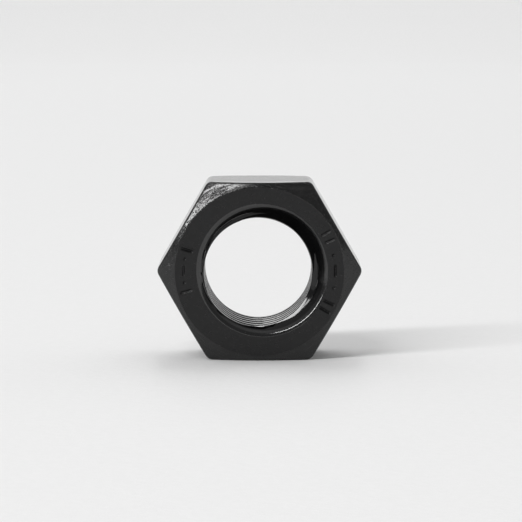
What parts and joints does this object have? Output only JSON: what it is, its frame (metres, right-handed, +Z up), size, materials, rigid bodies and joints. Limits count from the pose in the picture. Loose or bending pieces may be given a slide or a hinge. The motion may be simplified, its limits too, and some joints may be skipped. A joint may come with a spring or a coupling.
{
  "type": "hex nut",
  "caption": "Plain hexagon nut, black finish, with a coarse right-hand internal thread, countersunk at both ends and chamfered corners.",
  "frame": {"origin": "middle of the bore, halfway between the two bearing faces", "axes": "+Y along the bore from the marked front face to the back face; +Z up, square to the flat that the nut stands on; +X to a corner of the hexagon"},
  "size_m": [0.0272, 0.0128, 0.0238],
  "materials": {
    "black_steel": "gloss"
  },
  "bodies": {
    "root": {"hex_nut": "black_steel"}
  },
  "joints": []
}
